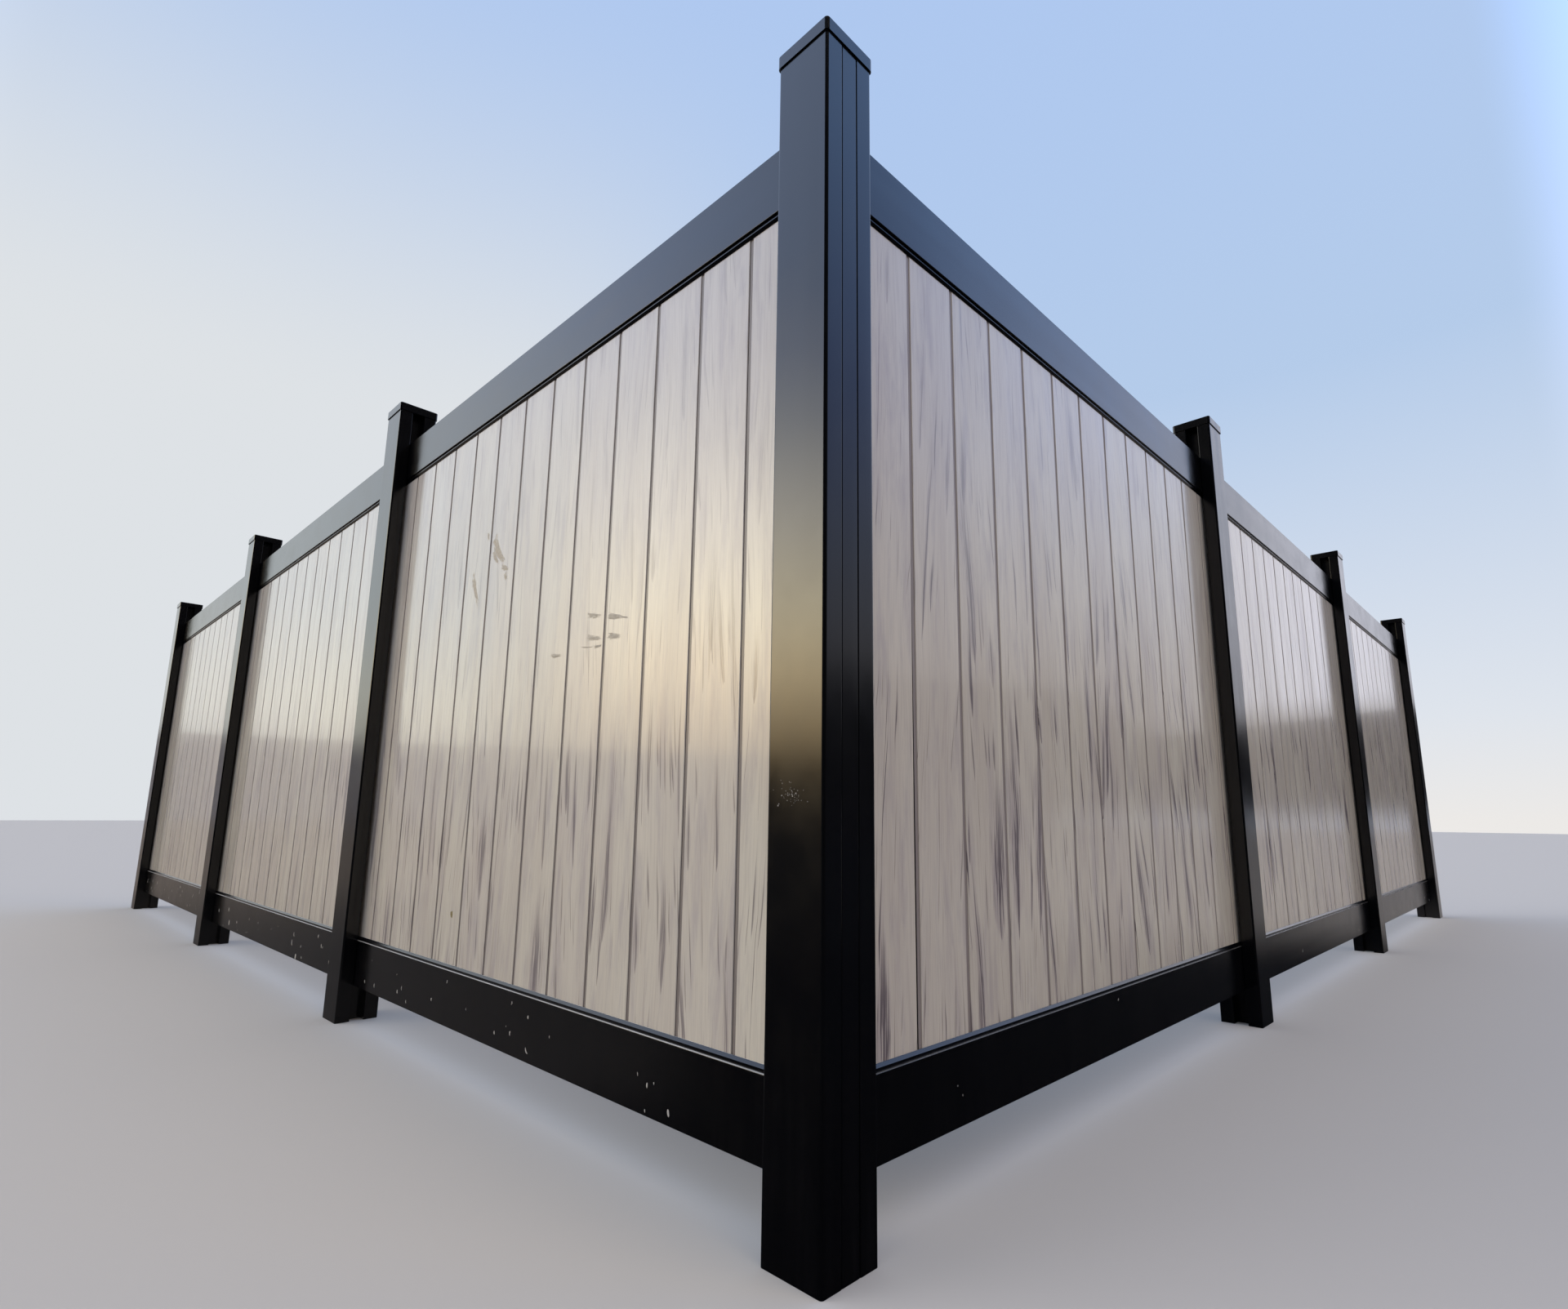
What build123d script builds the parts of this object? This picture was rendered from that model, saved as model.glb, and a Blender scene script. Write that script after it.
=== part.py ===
"""Vinyl privacy fence: an outside corner with three whole bays on either side.

Black hollow posts with channels down their faces hold black top and bottom rails. Wood-look tongue and groove
planks stand in the pockets of the rails. All sizes are in millimetres, +Z is up, and the origin is the centre of
the corner post's foot. The right run goes along +X and the left run along +Y.
"""

from build123d import *
from math import atan2, ceil, degrees
import os

# Layout of the fence
bays = 3
bay_pitch = 2100.0

# Posts: a square hollow extrusion with a channel down each face that takes a panel
post_size = 127.0
post_radius = 5.5
post_wall = 4.0
post_reveal = 148.0
channel_depth = 35.0
channel_lip_radius = 1.5

# Caps: a flat lid with a skirt around the post's top
cap_size = 133.0
cap_radius = 7.5
cap_skirt = 28.0
cap_lid = 4.0
cap_edge_radius = 2.0

# Rails: a deep hollow box with a narrower stepped lip on the side of the planks
rail_thickness = 41.0
rail_height = 139.0
rail_wall = 3.0
rail_edge_radius = 1.2
lip_height = 12.0
lip_setback = 4.5
lip_bevel = 5.5
lip_tip = 0.7
pocket_depth = 40.0
pocket_wall = 2.4
rail_foot = 110.0
panel_height = 1874.0

# Planks: hollow, tongue and groove, with a shallow flat-bottomed groove at each seam
plank_thickness = 21.0
plank_pitch = 159.4
plank_wall = 2.6
plank_chamfer = 1.5
seam_width = 10.5
seam_depth = 1.8
tongue_length = 9.0
tongue_thickness = 8.0
left_first_seam = 135.0
right_first_seam = 37.5
widest_cell = 100.0
narrowest_strip = 20.0

# The first joint of the right run has opened: evenly at its foot, then less and less up to its reach
joint_opening = 5.5
opening_even = 412.0
opening_reach = 1235.0

# Cover strips: close a channel that takes no panel
cover_wall = 3.0
cover_setback = 0.5

# Clearances
channel_clearance = 0.5
cover_clearance = 0.8
cap_clearance = 0.3
plank_clearance = 0.3
joint_gap = 1.2
tongue_room = 1.0
plank_headroom = 5.0

# Sizes that follow from those above
post_height = rail_foot + panel_height + post_reveal
channel_width = rail_thickness + 2 * channel_clearance
rail_length = bay_pitch - post_size + 2 * channel_depth
rail_start = post_size / 2 - channel_depth
pocket_width = plank_thickness + 2 * plank_clearance
top_rail_foot = rail_foot + panel_height - rail_height
plank_foot = rail_foot + rail_height + lip_height - pocket_depth
plank_top = top_rail_foot - lip_height + pocket_depth - plank_headroom
cover_width = channel_width - 2 * cover_clearance

# The directions of the two runs
right_way = Vector(1, 0, 0)
left_way = Vector(0, 1, 0)


def heading(way):
    """The turn about +Z, in degrees from +X, of a horizontal direction."""
    return degrees(atan2(way.Y, way.X)) % 360


def post_section(ways):
    """Section of a post with a channel in each face that looks along one of the given directions."""
    faces = [heading(way) for way in ways]
    reach = post_size / 2
    web = reach - channel_depth
    with BuildSketch() as channels:
        for turn in faces:
            with Locations(Location((0, 0, 0), (0, 0, turn))):
                with Locations((reach, 0)):
                    Rectangle(2 * channel_depth, channel_width)
    with BuildSketch() as cores:
        Rectangle(post_size - 2 * post_wall, post_size - 2 * post_wall)
        for turn in faces:
            with Locations(Location((0, 0, 0), (0, 0, turn))):
                with Locations((reach, 0)):
                    Rectangle(
                        2 * (channel_depth + post_wall),
                        channel_width + 2 * post_wall,
                        mode=Mode.SUBTRACT,
                    )
        # Where two channels are neighbours, their floors run on and meet, which closes off the corner's pocket
        for turn in faces:
            if (turn + 90) % 360 in faces:
                with Locations(Location((0, 0, 0), (0, 0, turn))):
                    with Locations((web - post_wall / 2, web / 2)):
                        Rectangle(post_wall, web, mode=Mode.SUBTRACT)
                    with Locations((web / 2, web - post_wall / 2)):
                        Rectangle(web, post_wall, mode=Mode.SUBTRACT)
    with BuildSketch() as section:
        RectangleRounded(post_size, post_size, post_radius)
        add(channels.sketch, mode=Mode.SUBTRACT)
        mouths = [
            corner
            for corner in section.vertices()
            if abs(max(abs(corner.X), abs(corner.Y)) - reach) < 0.01
            and abs(min(abs(corner.X), abs(corner.Y)) - channel_width / 2) < 0.01
        ]
        fillet(mouths, radius=channel_lip_radius)
        add(cores.sketch, mode=Mode.SUBTRACT)
    return section.sketch


def build_post(place, ways):
    """A hollow post, standing at the given place."""
    with BuildPart(Plane(origin=place)) as post:
        add(post_section(ways))
        extrude(amount=post_height)
    return post


def build_cap(place):
    """A flat cap with its skirt around the post's top."""
    top = post_height + cap_lid
    inside = post_size + 2 * cap_clearance
    with BuildPart(Plane(origin=place)) as cap:
        with BuildSketch(Plane(origin=place).offset(top)):
            RectangleRounded(cap_size, cap_size, cap_radius)
        extrude(amount=-cap_skirt)
        fillet(cap.edges().group_by(Axis.Z)[-1], radius=cap_edge_radius)
        with BuildSketch(Plane(origin=place).offset(top - cap_skirt)):
            RectangleRounded(inside, inside, post_radius)
        extrude(amount=cap_skirt - cap_lid, mode=Mode.SUBTRACT)
    return cap


def rail_section():
    """Section of a rail with its bevelled lips and pocket upward, and its flat edge on the local X axis."""
    edge = rail_height + lip_height
    lip_face = rail_thickness / 2 - lip_setback
    lip_end = pocket_width / 2 + lip_tip
    right_half = [
        (lip_face, rail_height - rail_wall),
        (lip_face, edge - lip_bevel),
        (lip_end, edge),
    ]
    left_half = [(-x, y) for x, y in reversed(right_half)]
    with BuildSketch() as hollow:
        with Locations((0, rail_height / 2)):
            Rectangle(rail_thickness - 2 * rail_wall, rail_height - 2 * rail_wall)
        with Locations((0, edge)):
            Rectangle(pocket_width + 2 * pocket_wall, 2 * (pocket_depth + pocket_wall), mode=Mode.SUBTRACT)
    with BuildSketch() as section:
        with Locations((0, rail_height / 2)):
            Rectangle(rail_thickness, rail_height)
        fillet(section.vertices(), radius=rail_edge_radius)
        with BuildLine():
            Polyline(*right_half, *left_half, close=True)
        make_face()
        with Locations((0, edge)):
            Rectangle(pocket_width, 2 * pocket_depth, mode=Mode.SUBTRACT)
        add(hollow.sketch, mode=Mode.SUBTRACT)
    return section.sketch


def build_rail(plane):
    """A rail from one post's channel to the next, extruded from its section on the given plane."""
    with BuildPart(plane) as rail:
        add(rail_section())
        extrude(amount=rail_length)
    return rail


def plank_section(left, right, grooved, tongued):
    """Section of one plank from left to right, with its groove, its tongue or both."""
    half = plank_thickness / 2
    ledge = half - seam_depth
    tongue = tongue_thickness / 2
    slot = tongue + plank_clearance
    shoulder = right - joint_gap
    face_end = right - seam_width
    if tongued:
        right_side = [
            (face_end, half),
            (face_end + plank_chamfer, ledge),
            (shoulder, ledge),
            (shoulder, tongue),
            (right + tongue_length, tongue),
        ]
    else:
        right_side = [(right, half)]
    if grooved:
        left_side = [
            (left + tongue_length + tongue_room, slot),
            (left, slot),
            (left, half - plank_chamfer),
            (left + plank_chamfer, half),
        ]
    else:
        left_side = [(left, half)]
    front = left_side + right_side
    back = [(x, -y) for x, y in reversed(front)]
    cell_left = left + (tongue_length + tongue_room + plank_wall if grooved else plank_wall)
    cell_right = face_end - plank_wall if tongued else right - plank_wall
    cells = ceil((cell_right - cell_left) / widest_cell)
    cell_pitch = (cell_right - cell_left + plank_wall) / cells
    with BuildSketch() as section:
        with BuildLine():
            Polyline(*front, *back, close=True)
        make_face()
        with Locations(((cell_left + cell_right) / 2, 0)):
            with GridLocations(cell_pitch, 1, cells, 1):
                Rectangle(cell_pitch - plank_wall, plank_thickness - 2 * plank_wall, mode=Mode.SUBTRACT)
    return section.sketch


def build_planks(plane, first_seam, opening):
    """The row of planks in one bay. Its plane's X axis runs along the bay from one post's face. The last whole
    plank has drawn back at its foot, which opens the joint at its grooved edge by the given width. A rest that
    is too narrow for a strip of its own is left empty at the row's start, and widens the last plank at its end."""
    bay_start = plank_clearance - channel_depth
    bay_end = bay_pitch - post_size + channel_depth - plank_clearance
    height = plank_top - plank_foot
    seams = [first_seam]
    while seams[0] - plank_pitch > bay_start:
        seams.insert(0, seams[0] - plank_pitch)
    while seams[-1] + plank_pitch + narrowest_strip < bay_end:
        seams.append(seams[-1] + plank_pitch)
    joint = seams[-2]
    with BuildPart() as drawn_plank:
        with BuildSketch(plane):
            add(plank_section(joint, seams[-1], True, True))
        extrude(amount=height)
        if opening:
            with BuildSketch(Plane(origin=plane.origin, x_dir=plane.x_dir, z_dir=-plane.y_dir)):
                with BuildLine():
                    Polyline(
                        (joint - 1, -1),
                        (joint + opening, -1),
                        (joint + opening, opening_even),
                        (joint, opening_reach),
                        (joint - 1, opening_reach),
                        close=True,
                    )
                make_face()
            extrude(amount=plank_thickness, both=True, mode=Mode.SUBTRACT)
    with BuildPart() as planks:
        with BuildSketch(plane):
            if seams[0] - bay_start > narrowest_strip:
                add(plank_section(bay_start, seams[0], False, True))
            for seam in seams[:-2]:
                add(plank_section(seam, seam + plank_pitch, True, True))
            add(plank_section(seams[-1], bay_end, True, False))
        extrude(amount=height)
        add(drawn_plank.part)
    return planks


def build_cover(place, way):
    """A U-shaped strip that closes a post's channel, in the face that looks along the given direction."""
    face = post_size / 2 - cover_setback
    back = post_size / 2 - channel_depth
    with BuildPart(Plane(origin=place)) as cover:
        with BuildSketch(Plane(origin=place).rotated((0, 0, heading(way)))):
            with Locations(((face + back) / 2, 0)):
                Rectangle(face - back, cover_width)
            with Locations(((face + back) / 2 - cover_wall, 0)):
                Rectangle(face - back, cover_width - 2 * cover_wall, mode=Mode.SUBTRACT)
        extrude(amount=post_height)
        outer = cover.edges().filter_by(Axis.Z).sort_by_distance((place[0], place[1], 0))[-2:]
        fillet(outer, radius=channel_lip_radius)
    return cover


# The two runs: along the run, the horizontal direction across it for the rails, the first seam, and whether the
# row of planks starts at a bay's near post or at its far post
RUNS = {
    "right": (right_way, left_way, right_first_seam, "far"),
    "left": (left_way, -right_way, left_first_seam, "near"),
}

built = {}
built["corner_post"] = build_post((0, 0, 0), (right_way, left_way, -left_way))
built["corner_cap"] = build_cap((0, 0, 0))
built["corner_cover_strip"] = build_cover((0, 0, 0), -left_way)

for side, (along, across, first_seam, row_start) in RUNS.items():
    for bay in range(1, bays + 1):
        near = along * ((bay - 1) * bay_pitch)
        far = along * (bay * bay_pitch)
        built[f"{side}_post_{bay}"] = build_post(tuple(far), (-along, along))
        built[f"{side}_cap_{bay}"] = build_cap(tuple(far))
        start = near + along * rail_start
        bottom = Plane(origin=start + Vector(0, 0, rail_foot), x_dir=across, z_dir=along)
        built[f"{side}_bottom_rail_{bay}"] = build_rail(bottom)
        # The top rail is the same extrusion turned over, so its lip points down
        end = far - along * rail_start
        top_edge = rail_foot + panel_height
        top = Plane(origin=end + Vector(0, 0, top_edge), x_dir=across, z_dir=-along)
        built[f"{side}_top_rail_{bay}"] = build_rail(top)
        onward = along if row_start == "near" else -along
        footing = (near if row_start == "near" else far) + onward * (post_size / 2) + Vector(0, 0, plank_foot)
        row = Plane(origin=footing, x_dir=onward, z_dir=(0, 0, 1))
        opening = joint_opening if (side, bay) == ("right", 1) else 0
        built[f"{side}_planks_{bay}"] = build_planks(row, first_seam, opening)
    built[f"{side}_end_cover_strip"] = build_cover(tuple(along * (bays * bay_pitch)), along)

os.makedirs("parts", exist_ok=True)
for name, piece in built.items():
    piece.part.label = name
    export_step(piece.part, f"parts/{name}.step")
    box = piece.part.bounding_box()
    print(name, len(piece.part.solids()), [round(v, 1) for v in (*box.min, *box.max)], round(piece.part.volume / 1e6, 3))
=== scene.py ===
# %% [markdown]
# # A vinyl privacy fence, dressed for its picture
#
# The fence is an outside corner: hollow black posts with flat caps, deep black rails, and tall planks with a
# printed wood grain. Its shapes come from the CAD frame. This lesson adds what a frame cannot hold: the satin of
# black vinyl, the printed film on the planks, and the knocks and dirt that a fence collects.
#
# Everything is in metres. The corner post stands at the origin, the right run goes along +X and the left run
# along +Y, and both turn their outer faces to the camera.

# %% Load the frame
import math

import bpy
import numpy as np
from mathutils import Matrix, Vector


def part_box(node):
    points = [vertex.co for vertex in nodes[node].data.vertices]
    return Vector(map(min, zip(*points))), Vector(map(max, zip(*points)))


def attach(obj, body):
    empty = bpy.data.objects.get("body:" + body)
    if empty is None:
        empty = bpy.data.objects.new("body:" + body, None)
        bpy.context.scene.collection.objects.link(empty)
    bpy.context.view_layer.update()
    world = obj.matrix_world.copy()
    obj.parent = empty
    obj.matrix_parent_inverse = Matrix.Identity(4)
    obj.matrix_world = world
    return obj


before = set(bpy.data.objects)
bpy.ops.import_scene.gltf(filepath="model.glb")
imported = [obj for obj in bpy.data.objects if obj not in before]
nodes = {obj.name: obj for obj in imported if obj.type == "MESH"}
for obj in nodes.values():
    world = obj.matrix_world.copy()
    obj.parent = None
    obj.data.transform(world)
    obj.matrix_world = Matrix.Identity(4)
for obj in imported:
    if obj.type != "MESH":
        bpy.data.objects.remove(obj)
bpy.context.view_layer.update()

# %% [markdown]
# ## Sizes that the finishes need
#
# A print starts anew on every plank, so its pattern has to know where the planks are. These few sizes repeat the
# fence's layout. Each post's face is half a post away from its centre, the bays repeat at one pitch, and the
# first joint between planks is measured from the post's face. The other sizes are read from the frame's boxes.

# %% Layout of the bays
BAYS = 3
BAY_PITCH = 2.100
POST_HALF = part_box("corner_post")[1].x
PLANK_PITCH = 0.1594
PLANK_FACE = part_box("right_planks_1")[1].y
FIRST_JOINT = {"right": 0.1821, "left": 0.1350}
RAIL_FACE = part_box("right_bottom_rail_1")[1].y
RAIL_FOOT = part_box("right_bottom_rail_1")[0].z
print("post half:", round(POST_HALF, 4), "plank face:", round(PLANK_FACE, 4), "rail face:", round(RAIL_FACE, 4))

# %% [markdown]
# ## A short way to write node trees
#
# A finish here is a formula. Blender writes formulas as nodes, which take many lines each. The helpers below add
# one node and fill its sockets, from a number or from another node's socket, so a finish reads from top to
# bottom like the formula it is.

# %% Node helpers
def add_node(tree, kind, *feeds, out=0, **settings):
    """Adds one node. Feeds fill its input sockets in order, None skips one, and settings are its properties."""
    made = tree.nodes.new(kind)
    for key, value in settings.items():
        setattr(made, key, value)
    for socket, feed in zip(made.inputs, feeds):
        if isinstance(feed, bpy.types.NodeSocket):
            tree.links.new(feed, socket)
        elif feed is not None:
            socket.default_value = feed
    return made.outputs[out]


def calc(tree, operation, *feeds):
    """One step of arithmetic on numbers or sockets."""
    return add_node(tree, "ShaderNodeMath", *feeds, operation=operation)


def times(tree, product, *factors):
    """The product of two or more numbers or sockets."""
    for factor in factors:
        product = calc(tree, "MULTIPLY", product, factor)
    return product


def minus(tree, whole, *parts):
    """What is left of a number or socket when the others are taken off it."""
    for part in parts:
        whole = calc(tree, "SUBTRACT", whole, part)
    return whole


def ramp(tree, value, low, high, to_low=0.0, to_high=1.0):
    """Carries a value from one range to another along a smooth S curve, and holds it at both ends."""
    return add_node(tree, "ShaderNodeMapRange", value, low, high, to_low, to_high, interpolation_type="SMOOTHSTEP")


def noise(tree, point, detail, roughness=0.5):
    """Fractal noise between 0 and 1 at a point that is already scaled."""
    made = add_node(tree, "ShaderNodeTexNoise", point, noise_dimensions="3D")
    made.node.inputs["Scale"].default_value = 1.0
    made.node.inputs["Detail"].default_value = detail
    made.node.inputs["Roughness"].default_value = roughness
    return made


def split(tree, vector):
    """The three numbers of a vector or colour."""
    return add_node(tree, "ShaderNodeSeparateXYZ", vector).node.outputs


def point_at(tree, x, y, z):
    """A point from three numbers or sockets."""
    return add_node(tree, "ShaderNodeCombineXYZ", x, y, z)


def scaled(tree, axes, *per_metre):
    """The point of three coordinates, each times the same number, or times its own where three are given."""
    factors = per_metre if len(per_metre) == 3 else per_metre * 3
    return point_at(tree, *[times(tree, axis, factor) for axis, factor in zip(axes, factors)])


def tint(tree, amount, below, above):
    """Mixes two colours by an amount between 0 and 1."""
    made = tree.nodes.new("ShaderNodeMix")
    made.data_type = "RGBA"
    for socket, feed in zip((made.inputs[0], made.inputs[6], made.inputs[7]), (amount, below, above)):
        if isinstance(feed, bpy.types.NodeSocket):
            tree.links.new(feed, socket)
        else:
            socket.default_value = feed if isinstance(feed, float) else (*feed, 1.0)
    return made.outputs[2]


# %% [markdown]
# ## How a finish begins and ends
#
# Every finish starts as an empty material that reads Object coordinates. Those are metres on the piece itself, so a
# pattern keeps its true scale and stays put when the camera moves. Most finishes of the fence end with bumps laid
# over each other, and each one says in millimetres how far its height would really go.

# %% Material helpers
def new_finish(name, plain_colour):
    """An empty material with its shader and the three object coordinates."""
    finish = bpy.data.materials.new(name)
    finish.use_nodes = True
    finish.diffuse_color = (*plain_colour, 1.0)
    tree = finish.node_tree
    place = add_node(tree, "ShaderNodeTexCoord", out=3)
    return finish, tree, tree.nodes["Principled BSDF"], tuple(split(tree, place))


def raise_surface(tree, shader, *layers):
    """Stacks bump layers, each a height socket with the millimetres that its full range stands for."""
    normal = None
    for height, millimetres in layers:
        bump = add_node(tree, "ShaderNodeBump", out=0)
        bump.node.inputs["Strength"].default_value = 1.0
        bump.node.inputs["Distance"].default_value = millimetres / 1000
        tree.links.new(height, bump.node.inputs["Height"])
        if normal is not None:
            tree.links.new(normal, bump.node.inputs["Normal"])
        normal = bump
    tree.links.new(normal, shader.inputs["Normal"])


# %% [markdown]
# ## Black vinyl
#
# The posts and rails are extruded: hot vinyl is pushed through a steel die, so any mark of the die becomes a faint
# line along the whole length. The walls also pull in a little as they cool, which makes their reflections swim.
# One function makes the finish for each direction of extrusion, because the lines follow the piece and not the
# world. Pale dust settles on every level ledge, most of it on the left run, and draws the bright line under the
# planks. A steep bevel sheds it, so the dust fades in only where the surface is nearly level.

# %% Black vinyl finish
BLACK = (0.0005, 0.0006, 0.0011), (0.0012, 0.0014, 0.0024)
HAZE = (0.085, 0.082, 0.090)
DUST = (0.78, 0.74, 0.70)


def black_vinyl(name, along, ledge_dust):
    """Satin black: die lines and slow waves run along one axis (0, 1 or 2). Pale dust lies on what faces up, in the
    given amount, and a dull haze rises from the ground."""
    finish, tree, shader, axes = new_finish(name, (0.012, 0.013, 0.017))

    def drawn_out(per_metre_along, per_metre_across):
        """A point that is stretched along the extrusion."""
        return scaled(tree, axes, *[per_metre_along if k == along else per_metre_across for k in range(3)])

    die_lines = noise(tree, drawn_out(1.3, 520.0), 2.0)
    slow_waves = noise(tree, drawn_out(0.9, 14.0), 1.0)
    grain = noise(tree, scaled(tree, axes, 420.0), 3.0, 0.65)
    cloud = noise(tree, scaled(tree, axes, 7.0), 5.0, 0.62)
    runs = noise(tree, scaled(tree, axes, 60.0, 60.0, 2.5), 4.0, 0.6)
    low_down = ramp(tree, axes[2], 0.50, 0.0)
    haze = times(tree, low_down, ramp(tree, runs, 0.40, 0.75), ramp(tree, grain, 0.30, 0.72, 0.35, 1.0))
    upward = split(tree, add_node(tree, "ShaderNodeNewGeometry", out=1))[2]
    patches = ramp(tree, cloud, 0.25, 0.60, 0.65, 1.0)
    settled = times(
        tree, ramp(tree, upward, 0.62, 0.97), patches, ramp(tree, grain, 0.25, 0.60, 0.7, 1.0), ledge_dust
    )

    colour = tint(tree, die_lines, *BLACK)
    colour = tint(tree, times(tree, haze, 0.028), colour, HAZE)
    tree.links.new(tint(tree, settled, colour, DUST), shader.inputs["Base Color"])
    gloss = calc(tree, "ADD", ramp(tree, cloud, 0.3, 0.7, 0.14, 0.20), times(tree, haze, 0.04))
    gloss = calc(tree, "ADD", gloss, times(tree, settled, 0.5))
    tree.links.new(gloss, shader.inputs["Roughness"])
    shader.inputs["IOR"].default_value = 1.54
    raise_surface(tree, shader, (slow_waves, 0.9), (die_lines, 0.014), (grain, 0.012))
    return finish


vinyl = {
    "upright": black_vinyl("black_vinyl_upright", 2, 0.30),
    "right": black_vinyl("black_vinyl_right", 0, 0.22),
    "left": black_vinyl("black_vinyl_left", 1, 0.95),
}
print("black finishes:", [made.name for made in vinyl.values()])

# %% [markdown]
# ## Printed wood grain: each plank its own
#
# The planks are the same vinyl under a printed film. The pattern could come from one long noise, but then a streak
# would run on across a seam. Here every plank gets three random numbers from its place in the row. They shift the
# pattern, tone it and lean it, so each plank has its own print.

# %% Where a point lies on its plank
# A bay gets more numbers than it has planks, and a print is shifted across and up by up to so many metres
NUMBERS_PER_BAY = 37.0
SHIFT_ACROSS, SHIFT_UP = 9.0, 17.0


def plank_pattern(tree, run, axes, first_number):
    """Counts pitches from the first joint of the bay: the whole part numbers the plank, and the rest is the way
    across it. Gives that count, the plank's three random numbers, and the print's own two coordinates, of which the
    first bends a little by noise, as real grain wanders."""
    along = axes[0] if run == "right" else axes[1]
    bay = calc(tree, "FLOOR", calc(tree, "DIVIDE", along, BAY_PITCH))
    from_post = minus(tree, along, times(tree, bay, BAY_PITCH), POST_HALF)
    in_pitches = calc(tree, "DIVIDE", minus(tree, from_post, FIRST_JOINT[run]), PLANK_PITCH)
    number = calc(tree, "ADD", calc(tree, "FLOOR", in_pitches), times(tree, bay, NUMBERS_PER_BAY))
    number = calc(tree, "ADD", number, first_number)
    own = split(tree, add_node(tree, "ShaderNodeTexWhiteNoise", None, number, noise_dimensions="1D", out=1))
    u = times(tree, calc(tree, "FRACT", in_pitches), PLANK_PITCH)
    u = calc(tree, "ADD", u, times(tree, own[0], SHIFT_ACROSS))
    v = calc(tree, "ADD", axes[2], times(tree, own[1], SHIFT_UP))
    drift = noise(tree, point_at(tree, times(tree, u, 7.0), times(tree, v, 1.1), own[2]), 1.0)
    u_bent = calc(tree, "MULTIPLY_ADD", minus(tree, drift, 0.5), 0.060, u)
    wander = noise(tree, point_at(tree, times(tree, u, 26.0), times(tree, v, 6.5), own[2]), 2.0)
    u_bent = calc(tree, "MULTIPLY_ADD", minus(tree, wander, 0.5), 0.008, u_bent)
    return in_pitches, own, (u_bent, v)


print("planks from one post to the next:", round((BAY_PITCH - 2 * POST_HALF) / PLANK_PITCH, 1))

# %% [markdown]
# ## Printed wood grain: the streaks
#
# What makes this print is its dark streaks: thin above, blunt below, a little aslant and combed into strands. A
# noise alone gives even clouds, so a streak is made as a shape of its own. Each cell of a stretched Voronoi
# pattern holds one flame, and the cell's random colour picks its length, width and slope. The darkest strands in
# the lower part of a flame are its heart.

# %% Flames
# Cells per metre across and up, the shift of their pattern, and a flame's half length and half width in metres
BIG_FLAMES = (8.0, 1.35), 0.0, 0.34, 0.026
MIDDLE_FLAMES = (21.0, 2.6), 31.7, 0.20, 0.0088
THIN_FLAMES = (60.0, 3.4), 77.3, 0.13, 0.0024


def flames(tree, pattern, vigour, plank_lean, per_metre, shift, half_length, half_width, comb):
    """Leaning streaks, one to a Voronoi cell. Measured from the cell's point, a streak's half width follows
    (1 - t)(1 + t)^2, with t from -1 at its thin upper end to 1 at its blunt lower end. Strands run along it, and it
    fades upwards. Gives its body, and the darkest heart of it."""
    u_bent, v = pattern
    cells = tree.nodes.new("ShaderNodeTexVoronoi")
    cells.voronoi_dimensions = "2D"
    cells.inputs["Scale"].default_value = 1.0
    cells.inputs["Randomness"].default_value = 0.72
    across_at = calc(tree, "MULTIPLY_ADD", u_bent, per_metre[0], shift)
    up_at = calc(tree, "MULTIPLY_ADD", v, per_metre[1], shift)
    tree.links.new(point_at(tree, across_at, up_at, None), cells.inputs["Vector"])
    centre = split(tree, cells.outputs["Position"])
    pick = split(tree, cells.outputs["Color"])
    off = calc(tree, "DIVIDE", minus(tree, across_at, centre[0]), per_metre[0])
    down = calc(tree, "DIVIDE", minus(tree, up_at, centre[1]), -per_metre[1])

    # Its outline
    own_length = times(tree, calc(tree, "MULTIPLY_ADD", pick[0], 0.65, 0.35), half_length)
    t = calc(tree, "DIVIDE", down, own_length)
    inside = calc(tree, "LESS_THAN", calc(tree, "ABSOLUTE", t), 1.0)
    taper = times(tree, minus(tree, 1.0, t), calc(tree, "POWER", calc(tree, "ADD", 1.0, t), 2.0))
    width = times(tree, ramp(tree, pick[1], 0.15, 0.95), times(tree, vigour, 0.84 * half_width))
    edge = calc(tree, "MULTIPLY_ADD", taper, width, 0.00004)
    leaning = calc(tree, "MULTIPLY_ADD", minus(tree, pick[2], 0.5), 0.12, plank_lean)
    aside = calc(tree, "MULTIPLY_ADD", down, leaning, off)
    reach = minus(tree, 1.0, calc(tree, "DIVIDE", calc(tree, "ABSOLUTE", aside), edge))

    # Its strands, and how they fill it
    strands = noise(tree, scaled(tree, (aside, v, pick[1]), comb, 6.0, 91.0), 3.0, 0.6)
    fill = calc(tree, "MULTIPLY_ADD", minus(tree, strands, 0.5), 3.6, reach)
    body = times(tree, ramp(tree, fill, -0.15, 0.50), ramp(tree, t, -1.0, 0.35), inside)
    heart = times(tree, ramp(tree, fill, 0.50, 0.90), ramp(tree, t, -0.7, 0.4), inside)
    return body, heart


print("half lengths of the flames:", [flame[2] for flame in (BIG_FLAMES, MIDDLE_FLAMES, THIN_FLAMES)])
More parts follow.
